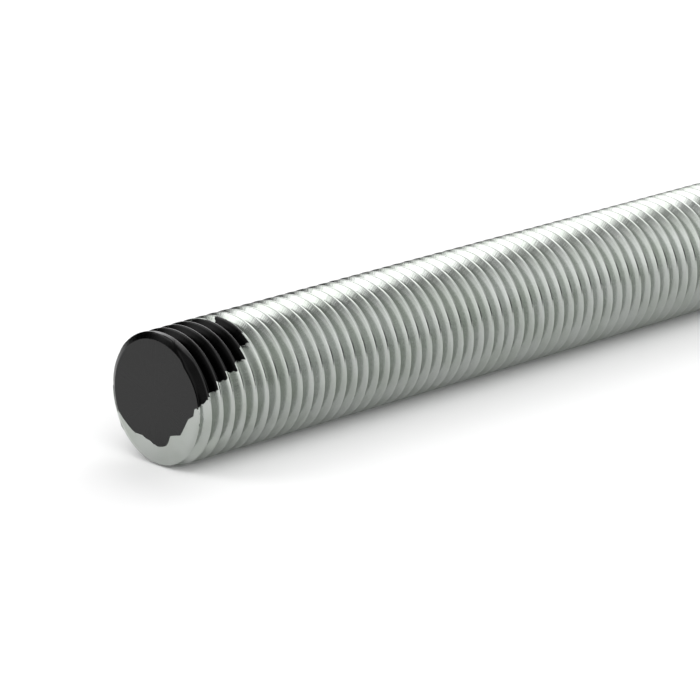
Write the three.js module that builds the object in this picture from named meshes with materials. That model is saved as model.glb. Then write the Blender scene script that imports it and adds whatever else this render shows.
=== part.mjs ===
// A cut length of fully threaded steel rod (studding), zinc plated.
//
// The rod lies along +X. The plating covers the whole thread and the far end. At the near end it
// is torn back in a ragged patch, so the top of the first turns and most of the end face are bare
// steel. The thread is one right-hand helical ridge, as it is rolled on the real rod.
//
// Both pieces are built on one grid of points that follows the helix. The plating is made of the
// grid's own cells, so its inside lies exactly on the steel.
//
// Angles round the rod are in degrees from its top. They grow towards -Y, so the bottom is at 180.

import * as THREE from 'three';

// Driving dimensions, in millimetres. The thread is ISO metric M36 x 4.
const MAJOR_DIAMETER = 36;
const PITCH = 4;
const LENGTH = 250;
const THREAD_DEPTH = 0.6134 * PITCH;
const CREST_FLAT = PITCH / 8;
const ROOT_FLAT = PITCH / 6;
const FACE_RADIUS = 16.27;
const CHAMFER_LENGTH = 0.9;
const PLATING = 0.1;

// The thread's flanks lean 30 degrees from the plane across the rod.
const FLANK_ANGLE = 30;

// The first groove starts in front of the top of the near end, and sinks in over this angle.
const GROOVE_START = 20;
const GROOVE_RUN_IN = 25;

// Flat sides per turn. A flat lies at the top, bottom, front and back, so the rod rests on one.
const SIDES = 12;
const SIDE_ANGLE = 360 / SIDES;
const FIRST_CORNER_ANGLE = SIDE_ANGLE / 2 - 180;

// Grid points closer than this to an end face are moved onto it.
const END_MARGIN = 0.01;

// The bare patch on the thread, groove by groove from the near end: the angles where it starts
// and ends. The crest before a groove is torn with it.
const BARE_GROOVES = [[-114, 82], [-92, 73], [-70, 67], [-45, 62], [-17, 53], [-1, 40]];

// The plated crescent on the near end face: at each angle, the radius where the steel ends.
// Outside these angles the whole face is bare.
const CRESCENT = [
  [90, 14.9], [105, 12.4], [130, 11.9], [137, 10.6], [147, 10.1], [165, 12.3], [182, 12.5],
  [195, 11.9], [210, 12.4], [225, 14.1], [240, 15.5],
];

const STEEL = new THREE.MeshStandardMaterial({ color: 0x3c3c3c, roughness: 0.55, metalness: 0.6 });
const ZINC = new THREE.MeshStandardMaterial({ color: 0xa9b0ac, roughness: 0.35, metalness: 0.9 });

const radians = THREE.MathUtils.degToRad;

// Corners stand outside the true circle, so that the flats touch it.
const CORNER_FACTOR = 1 / Math.cos(radians(SIDE_ANGLE / 2));

// How far each kind of grid point moves when the surface grows by a thickness of one, so that
// flats, flanks and faces all grow by the same thickness.
const FLANK_TILT = radians(90 - FLANK_ANGLE);
const CORNER_SHIFT = Math.tan(FLANK_TILT / 2);

// A rim grows out further, to clear a flank that falls away from the face right at the rim.
const RIM_GROWTH = 2.5;
const GROWTH = {
  crestStart: { along: -CORNER_SHIFT, out: 1 },
  crestEnd: { along: CORNER_SHIFT, out: 1 },
  rootStart: { along: CORNER_SHIFT, out: 1 },
  rootEnd: { along: -CORNER_SHIFT, out: 1 },
  nearRim: { along: -1, out: RIM_GROWTH },
  farRim: { along: 1, out: RIM_GROWTH },
  nearFace: { along: -1, out: 0 },
  farFace: { along: 1, out: 0 },
};

// The grid's rows in one pitch, with their offsets from the middle of a groove.
const CREST_EDGE = (PITCH - CREST_FLAT) / 2;
const ROWS = [
  { kind: 'crestStart', offset: CREST_EDGE - PITCH },
  { kind: 'crestEnd', offset: -CREST_EDGE },
  { kind: 'rootStart', offset: -ROOT_FLAT / 2 },
  { kind: 'rootEnd', offset: ROOT_FLAT / 2 },
];
const FIRST_ROW = -ROWS.length;
const LAST_ROW = ROWS.length * (Math.ceil(LENGTH / PITCH) + 1);

// Reads a list of [angle, value] pairs at any angle, with straight lines between the pairs.
function readOutline(outline, angle) {
  const next = outline.findIndex((pair) => pair[0] >= angle);
  const [angleA, valueA] = outline[next - 1];
  const [angleB, valueB] = outline[next];
  return valueA + ((valueB - valueA) * (angle - angleA)) / (angleB - angleA);
}

function cornerAngle(corner) {
  return FIRST_CORNER_ANGLE + corner * SIDE_ANGLE;
}

// The chamfers limit the radius near both ends.
function chamferRadius(x) {
  const fromEnd = Math.min(x, LENGTH - x);
  const rise = (MAJOR_DIAMETER / 2 - FACE_RADIUS) * (fromEnd / CHAMFER_LENGTH);
  return Math.min(MAJOR_DIAMETER / 2, FACE_RADIUS + rise);
}

// The radius at a place across a groove, given by its offset from the groove's middle. The groove
// sinks in as it starts.
function grooveRadius(offset, turn, angle) {
  const fullDepth = (CREST_EDGE - Math.abs(offset)) / Math.tan(radians(FLANK_ANGLE));
  const depth = THREE.MathUtils.clamp(fullDepth, 0, THREAD_DEPTH);
  const travel = 360 * turn + angle - GROOVE_START;
  return MAJOR_DIAMETER / 2 - depth * THREE.MathUtils.clamp(travel / GROOVE_RUN_IN, 0, 1);
}

// The grid's point on the rim of an end face.
function rimPoint(corner, kind, x) {
  const angle = cornerAngle(corner);
  const grooves = x / PITCH - angle / 360;
  const turn = Math.round(grooves);
  const radius = Math.min(FACE_RADIUS, grooveRadius((grooves - turn) * PITCH, turn, angle));
  return { key: `${corner} ${kind}`, kind, x, radius, angle };
}

// One point of the grid, on the column at a corner. Rows go along the rod, four to a pitch: the
// two edges of a crest, then the two edges of the next groove's root.
function gridPoint(corner, row) {
  const turn = Math.floor(row / ROWS.length);
  const { kind, offset } = ROWS[row - ROWS.length * turn];
  const angle = cornerAngle(corner);
  const x = PITCH * (turn + angle / 360) + offset;
  if (x < END_MARGIN) return rimPoint(corner, 'nearRim', 0);
  if (x > LENGTH - END_MARGIN) return rimPoint(corner, 'farRim', LENGTH);
  const radius = Math.min(chamferRadius(x), grooveRadius(offset, turn, angle));
  return { key: `${corner} ${row}`, kind, x, radius, angle };
}

// After the last corner of a turn the grid meets its first corner, one pitch further on.
function wrappedPoint(corner, row) {
  return corner < SIDES ? gridPoint(corner, row) : gridPoint(corner - SIDES, row + ROWS.length);
}

function isBare(corner, row) {
  const turn = Math.floor(row / ROWS.length);
  const middle = cornerAngle(corner) + SIDE_ANGLE / 2;
  const patch = BARE_GROOVES[turn];
  return patch !== undefined && middle > patch[0] && middle < patch[1];
}

// Adds a triangle unless two of its corners are the same point.
function addTriangle(triangles, plated, ...points) {
  const keys = new Set(points.map((point) => point.key));
  if (keys.size === 3) triangles.push({ points, plated });
}

function threadTriangles() {
  const triangles = [];
  for (let corner = 0; corner < SIDES; corner += 1) {
    for (let row = FIRST_ROW; row < LAST_ROW; row += 1) {
      const a = wrappedPoint(corner, row);
      const b = wrappedPoint(corner, row + 1);
      const c = wrappedPoint(corner + 1, row + 1);
      const d = wrappedPoint(corner + 1, row);
      const plated = !isBare(corner, row);
      addTriangle(triangles, plated, a, c, b);
      addTriangle(triangles, plated, a, d, c);
    }
  }
  return triangles;
}

// The point where bare steel ends on the near face: on the rim where no plating is left.
function tearPoint(corner) {
  const rim = rimPoint(corner, 'nearRim', 0);
  const angle = rim.angle < 0 ? rim.angle + 360 : rim.angle;
  const first = CRESCENT[0][0];
  const last = CRESCENT[CRESCENT.length - 1][0];
  if (angle < first || angle > last) return rim;
  return { key: `${corner} tear`, kind: 'nearFace', x: 0, radius: readOutline(CRESCENT, angle), angle };
}

function faceTriangles() {
  const triangles = [];
  const nearCentre = { key: 'near centre', kind: 'nearFace', x: 0, radius: 0, angle: 0 };
  const farCentre = { key: 'far centre', kind: 'farFace', x: LENGTH, radius: 0, angle: 0 };
  for (let corner = 0; corner < SIDES; corner += 1) {
    const next = (corner + 1) % SIDES;
    const [tear, nextTear] = [tearPoint(corner), tearPoint(next)];
    const [rim, nextRim] = [rimPoint(corner, 'nearRim', 0), rimPoint(next, 'nearRim', 0)];
    const [farRim, nextFarRim] = [rimPoint(corner, 'farRim', LENGTH), rimPoint(next, 'farRim', LENGTH)];
    addTriangle(triangles, false, nearCentre, nextTear, tear);
    addTriangle(triangles, true, tear, nextTear, nextRim);
    addTriangle(triangles, true, tear, nextRim, rim);
    addTriangle(triangles, true, farCentre, farRim, nextFarRim);
  }
  return triangles;
}

function position(point, growth) {
  const grow = GROWTH[point.kind];
  const radius = (point.radius + growth * grow.out) * CORNER_FACTOR;
  const angle = radians(point.angle);
  const x = point.x + growth * grow.along;
  return [x - LENGTH / 2, -radius * Math.sin(angle), radius * Math.cos(angle)];
}

// Builds an indexed geometry from triangles of [point, growth] corners, sharing equal corners.
function buildGeometry(triangles) {
  const indexOf = new Map();
  const positions = [];
  const indices = [];
  for (const [point, growth] of triangles.flat()) {
    const key = `${point.key} ${growth}`;
    if (!indexOf.has(key)) {
      indexOf.set(key, indexOf.size);
      positions.push(...position(point, growth));
    }
    indices.push(indexOf.get(key));
  }
  const geometry = new THREE.BufferGeometry();
  geometry.setAttribute('position', new THREE.Float32BufferAttribute(positions, 3));
  geometry.setIndex(indices);
  geometry.computeVertexNormals();
  return geometry;
}

function steelGeometry(surface) {
  return buildGeometry(surface.map(({ points }) => points.map((point) => [point, 0])));
}

// The plating is the plated cells grown outwards, the same cells turned over as its inside, and
// a narrow wall along every edge where the plating ends.
function platingGeometry(surface) {
  const triangles = [];
  const edges = new Map();
  for (const { points: [a, b, c] } of surface.filter(({ plated }) => plated)) {
    triangles.push([[a, PLATING], [b, PLATING], [c, PLATING]]);
    triangles.push([[c, 0], [b, 0], [a, 0]]);
    for (const [from, to] of [[a, b], [b, c], [c, a]]) edges.set(`${from.key}>${to.key}`, [from, to]);
  }
  for (const [from, to] of edges.values()) {
    if (edges.has(`${to.key}>${from.key}`)) continue;
    triangles.push([[from, 0], [to, 0], [to, PLATING]]);
    triangles.push([[from, 0], [to, PLATING], [from, PLATING]]);
  }
  return buildGeometry(triangles);
}

function namedMesh(name, geometry, material) {
  const mesh = new THREE.Mesh(geometry, material);
  mesh.name = name;
  return mesh;
}

const surface = [...threadTriangles(), ...faceTriangles()];
const rod = new THREE.Group();
rod.name = 'threaded_rod';
rod.add(namedMesh('steel_rod', steelGeometry(surface), STEEL));
rod.add(namedMesh('zinc_plating', platingGeometry(surface), ZINC));

export default rod;
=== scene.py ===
"""Looks for a fully threaded steel rod whose zinc plating is torn back at one end.

The rod lies along X on a white studio floor, with the torn end towards -X. Two pieces are built:
the black steel rod, and the zinc plating over it. Both come from one surface that follows the
thread, so the plating sits exactly on the steel. Lengths are in metres, angles in degrees.

Angles round the rod are measured from its top: positive towards the front (-Y), so the bottom is
at 180 degrees. One right-hand groove starts a little in front of the top of the near end and winds
towards +X. The stretch of thread from one crest to the next is called a turn here, and a place
across it, as a share of the pitch from the middle of the groove, is called its phase.
"""

import math

import bpy
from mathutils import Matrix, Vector


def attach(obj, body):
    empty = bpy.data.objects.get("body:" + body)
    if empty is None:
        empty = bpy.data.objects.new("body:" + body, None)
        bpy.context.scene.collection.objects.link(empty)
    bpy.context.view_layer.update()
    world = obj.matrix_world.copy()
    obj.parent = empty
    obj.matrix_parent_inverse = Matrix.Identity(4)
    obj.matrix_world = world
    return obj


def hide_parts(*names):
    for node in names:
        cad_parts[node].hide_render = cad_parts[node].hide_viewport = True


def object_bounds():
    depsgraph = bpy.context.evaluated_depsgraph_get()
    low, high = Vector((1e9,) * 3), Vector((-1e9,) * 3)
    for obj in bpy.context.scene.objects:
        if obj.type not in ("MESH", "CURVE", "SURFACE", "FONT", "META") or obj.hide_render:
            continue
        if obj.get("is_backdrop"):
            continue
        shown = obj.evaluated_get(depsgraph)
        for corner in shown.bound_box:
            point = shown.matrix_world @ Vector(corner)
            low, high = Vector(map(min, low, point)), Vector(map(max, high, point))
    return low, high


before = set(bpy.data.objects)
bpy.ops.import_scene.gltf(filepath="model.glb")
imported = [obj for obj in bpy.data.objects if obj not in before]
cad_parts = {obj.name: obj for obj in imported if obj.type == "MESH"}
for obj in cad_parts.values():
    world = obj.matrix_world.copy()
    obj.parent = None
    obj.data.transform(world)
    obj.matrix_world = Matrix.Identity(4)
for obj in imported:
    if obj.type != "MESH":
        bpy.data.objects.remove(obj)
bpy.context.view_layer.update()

# The rod. The thread is ISO metric M36 x 4.
MM = 0.001
RADIUS = 18 * MM
PITCH = 4 * MM
LENGTH = 250 * MM
THREAD_DEPTH = 0.6134 * PITCH
FLANK_ANGLE = 30
FACE_RADIUS = 16.27 * MM
CHAMFER_LENGTH = 0.9 * MM
PLATING = 0.1 * MM

# Places across a groove, as shares of the pitch from its middle: the edge of its root, the edge of
# the crest, and the middle of the crest.
ROOT_EDGE = 1 / 12
CREST_EDGE = 7 / 16
CREST_MIDDLE = 1 / 2

# A soft edge this wide joins each end face to the thread. Points of the thread that are closer to
# an end than the margin are moved onto that edge.
FACE_EDGE = 0.06 * MM
END_MARGIN = 1.2 * FACE_EDGE

# The first groove starts a little in front of the top, and grows to its full size over this angle.
# The rows of a groove that has hardly begun are spaced as for this share of the full size.
GROOVE_START = 20
GROOVE_RUN_IN = 25
LEAST_GROOVE = 0.05

# Columns of the surface per turn. The first column runs along the bottom of the rod.
COLUMNS = 80
COLUMN_ANGLE = 360 / COLUMNS

# The phases of the surface's rows across one groove and the crest before it. The rows pass just
# beside each corner, which softens the corner.
CREST_ROWS = [-0.573, -0.553, -0.447]
NEAR_FLANK_ROWS = [-0.427, -0.1]
ROOT_ROWS = [-0.055, 0.055]
FAR_FLANK_ROWS = [0.1, 0.427]

# Near both ends the flanks and crests have more rows, for the torn edges and the chamfers.
FLANK_STEPS = 5
CREST_STEPS = 2
NEAR_FINE_TURNS = 7
FAR_FINE_TURNS = 3

# The bare patch on the thread, groove by groove from the near end: the angle where it starts at
# the back, and where it ends at the front on the crest before the groove, at the groove's root,
# and on its far flank. The last entry bares only the crest before its groove.
TORN_GROOVES = [
    (-114, (85, 85, 78)),
    (-92, (76, 74, 73)),
    (-70, (66, 67, 66)),
    (-45, (60, 60, 62)),
    (-17, (55, 52, 54)),
    (-1, (43, 38, 41)),
    (-2, (30, 30, 30)),
]

# The torn edge wavers by these angles at its back and its front. The wave turns this far across
# one groove, and is shifted by the second amount from each groove to the next, in radians.
BACK_RAGGEDNESS = 1.4
FRONT_RAGGEDNESS = 0.7
RAGGED_WAVE = 31
RAGGED_SHIFT = 5

# The columns that lie this close to a torn edge slide along the thread to make room for it.
TORN_REACH = 4

# The edge of the plating left on the near face, in millimetres from the centre: along Y, then up.
TORN_FACE = [
    (13, -8), (11.1, -9.3), (9.5, -10.3), (8.3, -10.8), (5.5, -10.8), (4, -11.4), (2.4, -11.6),
    (1.2, -12.2), (-0.8, -12.5), (-2.7, -12), (-4, -11.4), (-4.8, -10.4), (-5.6, -8.4),
    (-7.5, -7.8), (-9.5, -7.3), (-10.3, -6.2), (-11.9, -3.5), (-12.7, -2.2), (-14.7, -0.9),
    (-15.1, 1), (-15.8, 1.5),
]  # fmt: skip

# Edges between faces that meet at more than this angle are shaded sharp.
SHARP_ANGLE = 50

# The span of noise values that a material's own range is spread over, for streaks and for clouds.
STREAK_SPAN = (0.3, 0.7)
CLOUD_SPAN = (0.35, 0.65)

# Zinc: streaks across the thread, soft clouds, and how far the streaks stand up. Colors are linear.
ZINC_STREAK_WIDTH = 0.35 * MM
ZINC_STREAK_LENGTH = 5 * MM
ZINC_CLOUD = 9 * MM
ZINC_DETAIL = 2
ZINC_BUMP = 0.02 * MM
ZINC_DARK = (0.385, 0.41, 0.38)
ZINC_LIGHT = (0.42, 0.44, 0.42)
ZINC_ROUGHNESS = (0.18, 0.26)

# Blackened steel. Its thread is painted darkest in the grooves as shade and greyer on the crests as
# sheen; the painted sheen starts at this radius and grows outwards.
STEEL_PAINTED_SHEEN_START = 17.6 * MM
STEEL_GROOVE_PAINTED_SHADE = (0.0075, 0.0075, 0.0075)
STEEL_CREST_PAINTED_SHEEN = (0.027, 0.027, 0.027)
STEEL_CUT = (0.035, 0.035, 0.035)
STEEL_ROUGHNESS = (0.2, 0.28)
STEEL_GRAIN_WIDTH = 0.3 * MM
STEEL_GRAIN_LENGTH = 3 * MM
STEEL_DETAIL = 3
STEEL_BUMP = 0.01 * MM

# Light catches on the edges of both materials as if they were rounded by this much. This many
# samples look for the edges near a point.
EDGE_ROUNDING = 0.15 * MM
EDGE_SAMPLES = 4

# The camera looks at the rod's near half from the front left, a little above.
CAMERA_TARGET = Vector((-55.16, 0, -1.35)) * MM
CAMERA_DISTANCE = 1.072
CAMERA_AZIMUTH = 46.05
CAMERA_ELEVATION = 17.16
CAMERA_LENS = 203.65
CAMERA_REACH = 20

FLOOR_SIZE = 20
FLOOR_COLOR = (0.9, 0.9, 0.9)

# Studio light: soft round glows in a dark sky, each as azimuth, elevation, the angles from its
# middle where it starts to fade and where it ends, and strength.
SOFTBOXES = [
    (56, 25, 24, 69, 2.05),
    (-45, 38, 9, 22, 3.4),
    (-144, 32, 12, 38, 2.2),
    (165, 46, 12, 38, 1.1),
    (0, 80, 10, 35, 0.5),
]


# ---- The surface that follows the thread ----


def between(value_a, value_b, share):
    return value_a + (value_b - value_a) * share


def split(rows, steps):
    """The same rows with the gap from the first to the last cut into equal steps."""
    return [between(rows[0], rows[-1], i / steps) for i in range(steps + 1)]


# The thread's turns between the two ends. Its surface starts before the near end and is filled in
# to past the far end. Its columns have points for two turns more, because a strip ends on the next
# crest, and the last column is the first one again, a turn further on.
TURNS = math.ceil(LENGTH / PITCH)
FILLED_TURNS = range(-1, TURNS + 1)
COLUMN_TURNS = range(-1, TURNS + 3)

PLAIN_ROWS = [*CREST_ROWS, *NEAR_FLANK_ROWS, *ROOT_ROWS, *FAR_FLANK_ROWS[:1]]
FINE_ROWS = [
    CREST_ROWS[0],
    *split(CREST_ROWS[1:], CREST_STEPS),
    *split(NEAR_FLANK_ROWS, FLANK_STEPS),
    *ROOT_ROWS,
    *split(FAR_FLANK_ROWS, FLANK_STEPS)[:-1],
]


def rows_of(turn):
    fine = turn < NEAR_FINE_TURNS or turn > TURNS - FAR_FINE_TURNS
    return FINE_ROWS if fine else PLAIN_ROWS


def chamfer_radius(x):
    """The chamfers limit the radius near both ends."""
    from_end = min(x, LENGTH - x)
    return between(FACE_RADIUS, RADIUS, min(from_end / CHAMFER_LENGTH, 1))


def groove_size(groove, angle):
    """How much of its full width and depth a groove has: it grows as it starts."""
    travel = 360 * groove + angle
    return min(max((travel - GROOVE_START) / GROOVE_RUN_IN, 0), 1)


def groove_edge(size):
    """The distance from the middle of a groove of some size to the edge of the crest."""
    return between(ROOT_EDGE, CREST_EDGE, size)


def groove_radius(groove, offset, angle):
    """The radius at a place across a groove, given by its offset from the groove's middle."""
    size = groove_size(groove, angle)
    from_edge = (groove_edge(size) - abs(offset)) * PITCH
    depth = from_edge / math.tan(math.radians(FLANK_ANGLE))
    return RADIUS - min(max(depth, 0), THREAD_DEPTH * size)


def squeeze(offset, size):
    """Moves a row in towards the middle of a groove that is still narrow, so it stays on its edge."""
    if size in (0, 1) or abs(offset) <= ROOT_EDGE:
        return offset
    edge = groove_edge(max(size, LEAST_GROOVE))
    if abs(offset) <= CREST_EDGE:
        share = (abs(offset) - ROOT_EDGE) / (CREST_EDGE - ROOT_EDGE)
        return math.copysign(between(ROOT_EDGE, edge, share), offset)
    share = (abs(offset) - CREST_EDGE) / (CREST_MIDDLE - CREST_EDGE)
    return math.copysign(between(edge, CREST_MIDDLE, share), offset)


def column_at(angle):
    """The column nearest to an angle."""
    return round((angle + 180) / COLUMN_ANGLE)


def plain_angle(column):
    """A column's angle where nothing slides it along the thread."""
    return column * COLUMN_ANGLE - 180


def torn_edges(groove, phase):
    """Where the bare patch starts and ends in a groove: two pairs of column and angle."""
    start, (on_crest, at_root, on_flank) = TORN_GROOVES[groove]
    if phase < 0:
        end = between(at_root, on_crest, min(phase / CREST_ROWS[-1], 1))
    else:
        end = between(at_root, on_flank, phase / FAR_FLANK_ROWS[-1])
    wave = math.sin(RAGGED_WAVE * phase + RAGGED_SHIFT * groove)
    back = (column_at(start), start + BACK_RAGGEDNESS * wave)
    front = (column_at(at_root), end + FRONT_RAGGEDNESS * wave)
    return back, front


def column_angle(column, turn, phase):
    """A column's angle on one row. Columns next to a torn edge slide along the thread to meet it."""
    plain = plain_angle(column)
    edges = [torn_edges(turn, phase)] if 0 <= turn < len(TORN_GROOVES) else []
    if phase == CREST_ROWS[0] and 0 < turn <= len(TORN_GROOVES):
        edges.append(torn_edges(turn - 1, phase + 1))
    if not edges:
        return plain
    # Each stop is a column and the angle it takes. The columns between two stops are spread evenly.
    stops = []
    for side in zip(*edges):
        stops.extend(sorted(side))
        for limit in (min(side)[0] - TORN_REACH, max(side)[0] + TORN_REACH):
            stops.append((limit, plain_angle(limit)))
    stops.sort()
    for (column_a, angle_a), (column_b, angle_b) in zip(stops, stops[1:]):
        if column_a <= column <= column_b:
            share = (column - column_a) / max(column_b - column_a, 1)
            return between(angle_a, angle_b, share)
    return plain


class Surface:
    """Points that polygons share, and whether each polygon is plated or bare."""

    def __init__(self):
        self.points = []
        self.index = {}
        self.polygons = []
        self.plated = []

    def point(self, key, x, radius, angle):
        if key not in self.index:
            self.index[key] = len(self.points)
            turn = math.radians(angle)
            across = (-radius * math.sin(turn), radius * math.cos(turn))
            self.points.append((x - LENGTH / 2, *across))
        return self.index[key]

    def polygon(self, corners, plated):
        corners = [c for i, c in enumerate(corners) if c != corners[i - 1]]
        if len(set(corners)) > 2:
            self.polygons.append(corners)
            self.plated.append(plated)


def column_places(column):
    """The places of one column's points along the rod, by turn and phase. Each is the nearest groove,
    the offset from its middle, x and the angle."""
    places = {}
    for turn in COLUMN_TURNS:
        for phase in rows_of(turn):
            angle = column_angle(column, turn, phase)
            groove = turn + round(phase)
            offset = squeeze(phase - round(phase), groove_size(groove, angle))
            places[turn, phase] = [groove, offset, PITCH * (groove + offset + angle / 360), angle]
    return places


def clearance(place):
    """How far the chamfer stands outside the thread at a place: negative where the chamfer cuts."""
    groove, offset, x, angle = place
    return chamfer_radius(x) - groove_radius(groove, offset, angle)


def settle_on_chamfer(places):
    """Slides points of the chamfer to where it meets the thread, so that the edge is clean."""
    for place, other in zip(places, places[1:]):
        gap, other_gap = clearance(place), clearance(other)
        if gap * other_gap >= 0:
            continue
        share = gap / (gap - other_gap)
        cut = place if gap < 0 else other
        cut[2] = between(place[2], other[2], share)
        cut[3] = between(place[3], other[3], share)


def add_column(surface, column):
    """Adds a column's points and returns them as a dictionary by turn and phase."""
    places = column_places(column)
    settle_on_chamfer(list(places.values()))
    found = {}
    for row, (groove, offset, x, angle) in places.items():
        if x < END_MARGIN:
            found[row] = rim_point(surface, column, FACE_EDGE)
        elif x > LENGTH - END_MARGIN:
            found[row] = rim_point(surface, column, LENGTH - FACE_EDGE)
        else:
            radius = min(chamfer_radius(x), groove_radius(groove, offset, angle))
            found[row] = surface.point((column, *row), x, radius, angle)
    return found


def rim_point(surface, column, x):
    angle = plain_angle(column)
    return surface.point((column, x), x, rim_radius(x, angle), angle)


def rim_radius(x, angle):
    """The radius where the thread meets an end."""
    grooves = x / PITCH - angle / 360
    groove = round(grooves)
    return min(chamfer_radius(x), groove_radius(groove, grooves - groove, angle))


def face_rim(surface, x, edge_x):
    """The points round an end face, just inside the soft edge that joins it to the thread."""
    rim = []
    for column in range(COLUMNS):
        angle = plain_angle(column)
        radius = min(rim_radius(edge_x, angle), FACE_RADIUS) - FACE_EDGE
        rim.append(surface.point((column, x), x, radius, angle))
    return rim


def is_bare(turn, phase, column):
    if not 0 <= turn < len(TORN_GROOVES):
        return False
    if turn == len(TORN_GROOVES) - 1 and phase >= NEAR_FLANK_ROWS[0]:
        return False
    start, (_, at_root, _) = TORN_GROOVES[turn]
    return column_at(start) <= column < column_at(at_root)


def add_thread(surface):
    """Fills the thread between neighbouring columns. After a full turn the groove moves up one."""
    columns = [add_column(surface, column) for column in range(COLUMNS)]
    columns.append({(turn - 1, phase): point for (turn, phase), point in columns[0].items()})
    for column in range(COLUMNS):
        for turn in FILLED_TURNS:
            right_turn = turn + 1 if column == COLUMNS - 1 else turn
            left = strip_side(columns[column], turn, turn)
            right = strip_side(columns[column + 1], turn, right_turn)
            add_strip(surface, left, right, turn, column)


def strip_side(column, turn, spacing_turn):
    """One side of a strip across a groove: pairs of phase and point, up to the next crest. The
    spacing turn is the one whose rows the column has there."""
    side = [(phase, column[turn, phase]) for phase in rows_of(spacing_turn)]
    first = CREST_ROWS[0]
    return [*side, (first + 1, column[turn + 1, first])]


def add_strip(surface, left, right, turn, column):
    """Fills the strip between two sides. Where one has more rows, polygons take up the rest."""
    shared = [phase for phase, _ in left if phase in dict(right)]
    for low, high in zip(shared, shared[1:]):
        up = [point for phase, point in left if low <= phase <= high]
        down = [point for phase, point in right if low <= phase <= high]
        surface.polygon([*down, *reversed(up)], not is_bare(turn, low, column))


def add_ends(surface):
    near = face_rim(surface, 0, FACE_EDGE)
    far = face_rim(surface, LENGTH, LENGTH - FACE_EDGE)
    for column in range(COLUMNS):
        following = (column + 1) % COLUMNS
        near_edge = [surface.index[c, FACE_EDGE] for c in (column, following)]
        far_edge = [surface.index[c, LENGTH - FACE_EDGE] for c in (column, following)]
        plated = not is_bare(0, 0, column)
        surface.polygon([near[column], near[following], *reversed(near_edge)], plated)
        surface.polygon([far[following], far[column], *far_edge], True)
    surface.polygon(far, True)
    add_torn_face(surface, near)


def add_torn_face(surface, rim):
    """Splits the near face along the torn edge: bare steel above, a crescent of plating below."""
    tear = []
    for across, up in TORN_FACE:
        radius = math.hypot(across, up) * MM
        angle = math.degrees(math.atan2(-across, up))
        tear.append(surface.point((across, up), 0, radius, angle))
    back_angle, (_, front_angle, _) = TORN_GROOVES[0]
    start, end = column_at(back_angle), column_at(front_angle)
    surface.polygon([*rim[start:end + 1][::-1], *tear], False)
    surface.polygon([*tear[::-1], *rim[:start + 1][::-1], *rim[end:][::-1]], True)


def build_surface():
    surface = Surface()
    add_thread(surface)
    add_ends(surface)
    return surface


# ---- Pieces ----


def make_piece(name, surface, polygons):
    """A mesh of some of the surface's polygons, with only the points that they use."""
    used = sorted({corner for polygon in polygons for corner in polygon})
    place = {corner: i for i, corner in enumerate(used)}
    mesh = bpy.data.meshes.new(name)
    mesh.from_pydata(
        [surface.points[corner] for corner in used],
        [],
        [[place[corner] for corner in polygon] for polygon in polygons],
    )
    mesh.validate()
    piece = bpy.data.objects.new(name, mesh)
    bpy.context.scene.collection.objects.link(piece)
    return piece


def thicken(piece, thickness):
    """Turns an open surface into a closed shell that grows outwards, and keeps the result."""
    solidify = piece.modifiers.new("plating", "SOLIDIFY")
    solidify.thickness = thickness
    solidify.offset = 1
    solidify.use_even_offset = True
    evaluated = piece.evaluated_get(bpy.context.evaluated_depsgraph_get())
    piece.data = bpy.data.meshes.new_from_object(evaluated)
    piece.modifiers.clear()


def soften(piece):
    """Shades flanks, crests and faces flat and the narrow edges between them round."""
    piece.data.shade_smooth()
    piece.data.set_sharp_from_angle(angle=math.radians(SHARP_ANGLE))
    normals = piece.modifiers.new("edges", "WEIGHTED_NORMAL")
    normals.keep_sharp = True


# ---- Materials ----


def node(tree, kind, **values):
    made = tree.nodes.new(kind)
    for name, value in values.items():
        setattr(made, name, value)
    return made


def principled(name):
    material = bpy.data.materials.new(name)
    material.use_nodes = True
    tree = material.node_tree
    return material, tree, tree.nodes["Principled BSDF"]


def calculate(tree, operation, *values, output="Vector"):
    """The result of a vector calculation. Each value is a socket or a constant."""
    made = node(tree, "ShaderNodeVectorMath", operation=operation)
    for value, socket in zip(values, made.inputs):
        if isinstance(value, bpy.types.NodeSocket):
            tree.links.new(value, socket)
        else:
            socket.default_value = value
    return made.outputs[output]


def noise(tree, vector, detail):
    made = node(tree, "ShaderNodeTexNoise")
    made.inputs["Scale"].default_value = 1
    made.inputs["Detail"].default_value = detail
    tree.links.new(vector, made.inputs["Vector"])
    return made.outputs["Fac"]


def remap(tree, value, source, target=(0, 1)):
    """Maps one range of values smoothly onto another, and holds its ends outside it."""
    made = node(tree, "ShaderNodeMapRange", interpolation_type="SMOOTHSTEP")
    tree.links.new(value, made.inputs["Value"])
    for name, limit in zip(("From Min", "From Max", "To Min", "To Max"), (*source, *target)):
        made.inputs[name].default_value = limit
    return made.outputs["Result"]


def mix_colors(tree, share, color_a, color_b):
    """Blends two colors. Each is a socket or a constant."""
    made = node(tree, "ShaderNodeMix", data_type="RGBA")
    tree.links.new(share, made.inputs["Factor"])
    for value, name in ((color_a, "A_Color"), (color_b, "B_Color")):
        socket = next(s for s in made.inputs if s.identifier == name)
        if isinstance(value, bpy.types.NodeSocket):
            tree.links.new(value, socket)
        else:
            socket.default_value = (*value, 1)
    return next(s for s in made.outputs if s.identifier == "Result_Color")


def from_axis(tree, place):
    """The part of a place that points away from the rod's axis."""
    return calculate(tree, "MULTIPLY", place, (0, 1, 1))


def streaks(tree, place, width, length, detail):
    """Noise drawn out along the rod, so that its streaks cross the thread from root to crest."""
    outward = calculate(tree, "NORMALIZE", from_axis(tree, place))
    around = calculate(tree, "MULTIPLY", outward, [RADIUS / width] * 3)
    along = calculate(tree, "MULTIPLY", place, (1 / length, 0, 0))
    return noise(tree, calculate(tree, "ADD", around, along), detail)


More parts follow.
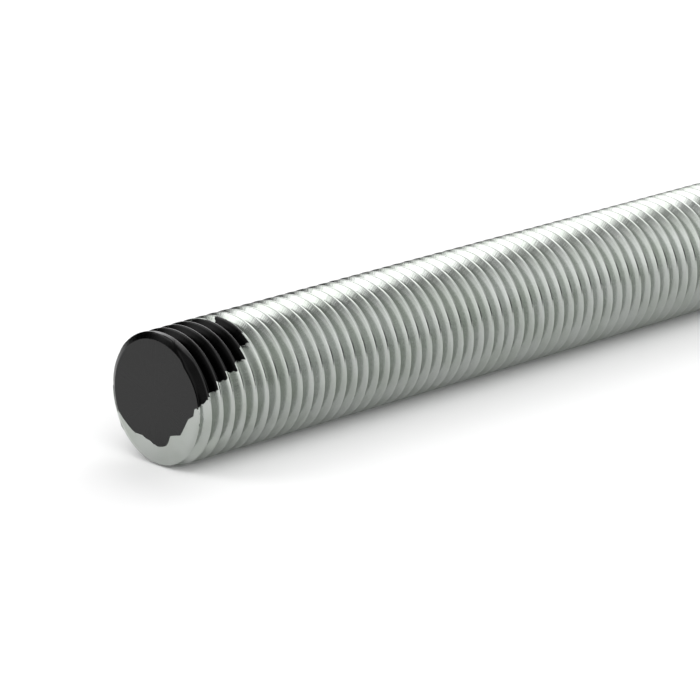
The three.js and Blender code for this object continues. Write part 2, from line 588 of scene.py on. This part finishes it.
def add_bump(tree, shader, height, distance):
    """Raises a surface by a height that varies over it, on top of the softly rounded edges."""
    rounded = node(tree, "ShaderNodeBevel", samples=EDGE_SAMPLES)
    rounded.inputs["Radius"].default_value = EDGE_ROUNDING
    bump = node(tree, "ShaderNodeBump")
    tree.links.new(rounded.outputs["Normal"], bump.inputs["Normal"])
    bump.inputs["Distance"].default_value = distance
    tree.links.new(height, bump.inputs["Height"])
    tree.links.new(bump.outputs["Normal"], shader.inputs["Normal"])


def zinc_material():
    """Bright zinc with fine streaks from the thread rolling and soft cloudy patches."""
    material, tree, shader = principled("zinc")
    place = node(tree, "ShaderNodeTexCoord").outputs["Object"]
    fine = streaks(tree, place, ZINC_STREAK_WIDTH, ZINC_STREAK_LENGTH, ZINC_DETAIL)
    cloud_place = calculate(tree, "MULTIPLY", place, [1 / ZINC_CLOUD] * 3)
    clouds = remap(tree, noise(tree, cloud_place, ZINC_DETAIL), CLOUD_SPAN)
    color = mix_colors(tree, clouds, ZINC_DARK, ZINC_LIGHT)
    roughness = remap(tree, fine, STREAK_SPAN, ZINC_ROUGHNESS)
    tree.links.new(color, shader.inputs["Base Color"])
    tree.links.new(roughness, shader.inputs["Roughness"])
    add_bump(tree, shader, fine, ZINC_BUMP)
    shader.inputs["Metallic"].default_value = 1
    return material


def steel_material():
    """Blackened steel: painted shade in the grooves, painted sheen on the crests, and grey where cut.
    """
    material, tree, shader = principled("steel")
    place = node(tree, "ShaderNodeTexCoord").outputs["Object"]
    grain = streaks(tree, place, STEEL_GRAIN_WIDTH, STEEL_GRAIN_LENGTH, STEEL_DETAIL)
    radius = calculate(tree, "LENGTH", from_axis(tree, place), output="Value")
    # Painted shade and sheen: the colour goes from dark in the grooves to grey on the crests as the
    # radius grows.
    painted_shade_and_sheen = remap(tree, radius, (STEEL_PAINTED_SHEEN_START, RADIUS))
    thread = mix_colors(tree, painted_shade_and_sheen, STEEL_GROOVE_PAINTED_SHADE, STEEL_CREST_PAINTED_SHEEN)
    towards_end = calculate(tree, "DOT_PRODUCT", place, (-1, 0, 0), output="Value")
    cut = remap(tree, towards_end, (LENGTH / 2 - 2 * FACE_EDGE, LENGTH / 2 - FACE_EDGE / 2))
    color = mix_colors(tree, cut, thread, STEEL_CUT)
    roughness = remap(tree, grain, STREAK_SPAN, STEEL_ROUGHNESS)
    tree.links.new(color, shader.inputs["Base Color"])
    tree.links.new(roughness, shader.inputs["Roughness"])
    add_bump(tree, shader, grain, STEEL_BUMP)
    shader.inputs["Metallic"].default_value = 1
    return material


# ---- Studio ----


def direction(azimuth, elevation):
    """A unit vector. Azimuth 0 points to -X and 90 to -Y."""
    azimuth, elevation = math.radians(azimuth), math.radians(elevation)
    level = math.cos(elevation)
    return Vector((-math.cos(azimuth) * level, -math.sin(azimuth) * level, math.sin(elevation)))


def add_camera():
    back = direction(CAMERA_AZIMUTH, CAMERA_ELEVATION)
    camera = bpy.data.objects.new("camera", bpy.data.cameras.new("camera"))
    bpy.context.scene.collection.objects.link(camera)
    camera.location = CAMERA_TARGET + back * CAMERA_DISTANCE
    camera.rotation_euler = back.to_track_quat("Z", "Y").to_euler()
    camera.data.lens = CAMERA_LENS
    camera.data.clip_end = CAMERA_REACH
    bpy.context.scene.camera = camera


def add_floor(height):
    bpy.ops.mesh.primitive_plane_add(size=FLOOR_SIZE, location=(0, 0, height))
    floor = bpy.context.object
    floor.name = "floor"
    material, tree, shader = principled("floor")
    shader.inputs["Base Color"].default_value = (*FLOOR_COLOR, 1)
    shader.inputs["Roughness"].default_value = 1
    floor.data.materials.append(material)
    floor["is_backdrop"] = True


def add_glow(tree, looking, azimuth, elevation, inner, outer, strength):
    """How strongly one soft round glow shines in each direction of the sky."""
    towards = calculate(tree, "DOT_PRODUCT", looking, direction(azimuth, elevation), output="Value")
    edges = (math.cos(math.radians(outer)), math.cos(math.radians(inner)))
    return remap(tree, towards, edges, (0, strength))


def add_world():
    """The studio's light is the sum of its glows."""
    world = bpy.data.worlds.new("studio")
    bpy.context.scene.world = world
    world.use_nodes = True
    tree = world.node_tree
    background = tree.nodes["Background"]
    background.inputs["Color"].default_value = (1, 1, 1, 1)
    looking = node(tree, "ShaderNodeTexCoord").outputs["Generated"]
    first, *others = [add_glow(tree, looking, *softbox) for softbox in SOFTBOXES]
    total = first
    for glow in others:
        add = node(tree, "ShaderNodeMath", operation="ADD")
        tree.links.new(glow, add.inputs[0])
        tree.links.new(total, add.inputs[1])
        total = add.outputs["Value"]
    tree.links.new(total, background.inputs["Strength"])


# ---- The scene ----


surface = build_surface()
steel = make_piece("steel", surface, surface.polygons)
plated = [polygon for polygon, is_plated in zip(surface.polygons, surface.plated) if is_plated]
zinc = make_piece("zinc", surface, plated)
thicken(zinc, PLATING)
for piece, material, cad_node, slot in (
    (steel, steel_material(), "steel_rod", "black_steel"),
    (zinc, zinc_material(), "zinc_plating", "zinc"),
):
    soften(piece)
    piece.data.materials.append(material)
    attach(piece, "root")
    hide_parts(cad_node)

bpy.context.scene.view_settings.view_transform = "Standard"
add_camera()
add_world()
add_floor(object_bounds()[0].z)
